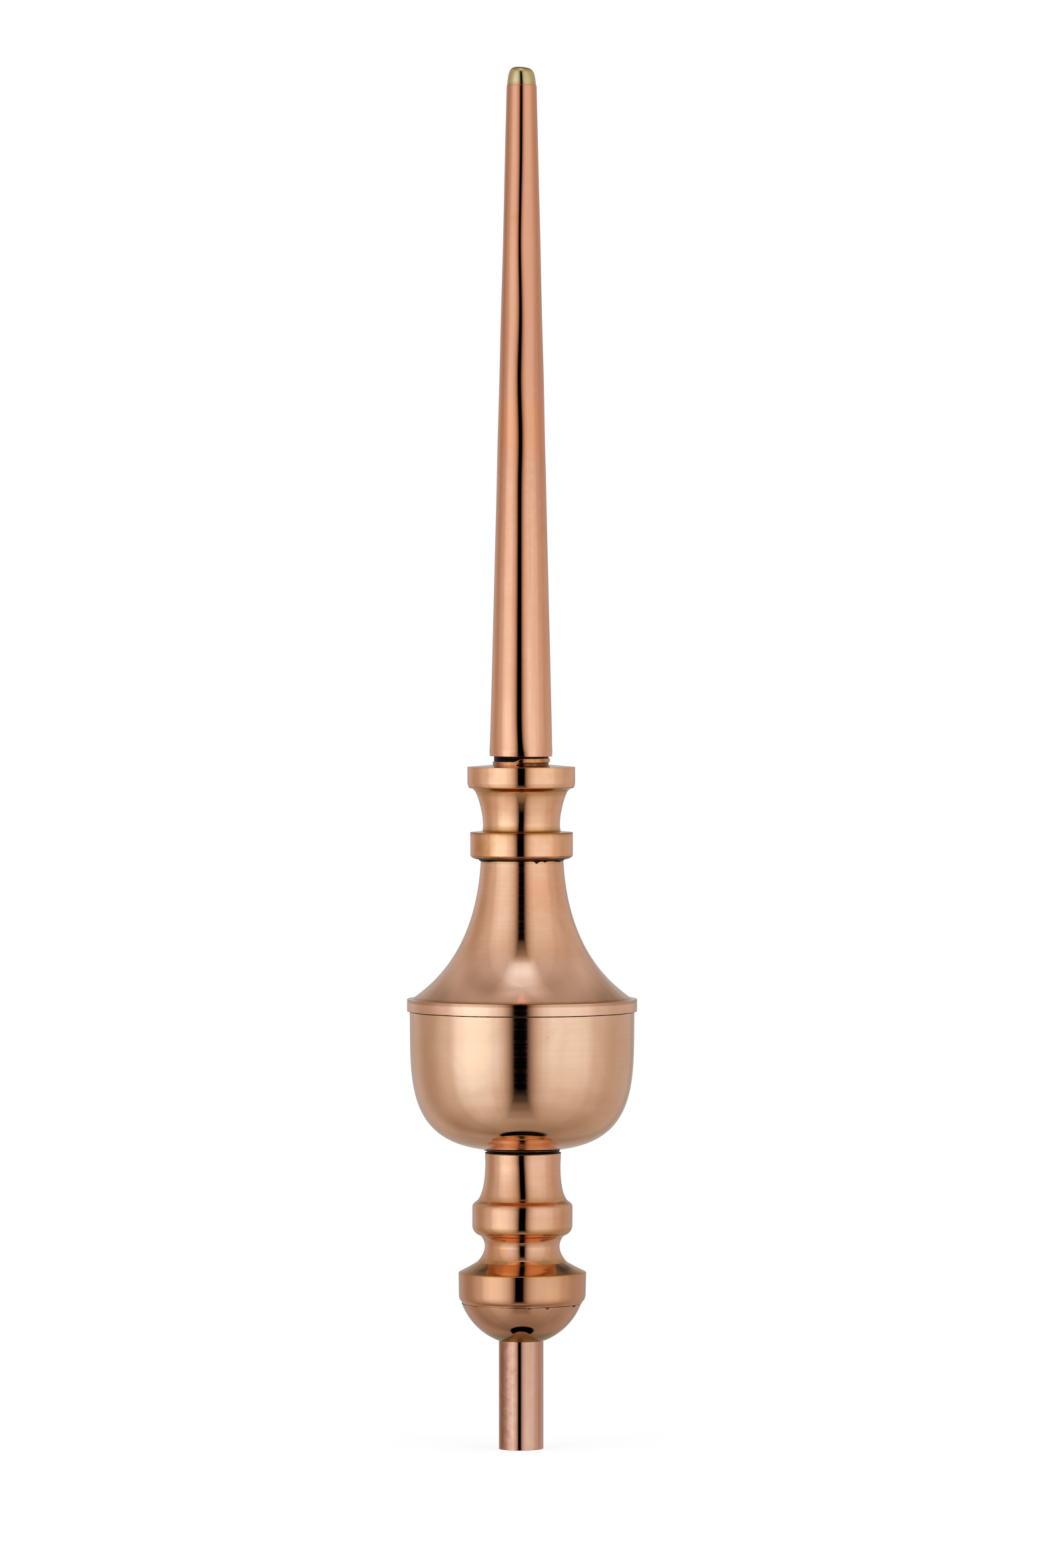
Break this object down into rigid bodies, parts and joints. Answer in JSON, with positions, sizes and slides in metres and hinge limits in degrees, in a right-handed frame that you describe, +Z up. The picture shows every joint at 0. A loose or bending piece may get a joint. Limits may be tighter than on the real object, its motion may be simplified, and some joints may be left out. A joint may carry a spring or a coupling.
{
  "type": "roof finial",
  "caption": "Tall turned copper roof finial: tapered spire with a brass tip, collar, flared bell over a deep bowl, ringed baluster and an open pipe stem for a roof mount.",
  "frame": {"origin": "centre of the stem pipe's open foot", "axes": "+Z up along the finial's axis, from the stem's foot to the brass tip; X and Y across it"},
  "size_m": [0.1142, 0.1142, 0.6858],
  "materials": {
    "polished_copper": "mirror polished copper",
    "spun_copper": "polished copper with fine spinning lines",
    "spire_copper": "mirror polished copper tube",
    "stem_copper": "bright drawn copper pipe",
    "tip_brass": "polished brass"
  },
  "bodies": {
    "root": {"stem_pipe": "stem_copper", "half_ball": "polished_copper", "baluster": "polished_copper", "bowl": "spun_copper", "bell": "spun_copper", "upper_spool": "polished_copper", "spire": "spire_copper", "brass_tip": "tip_brass"}
  },
  "joints": []
}
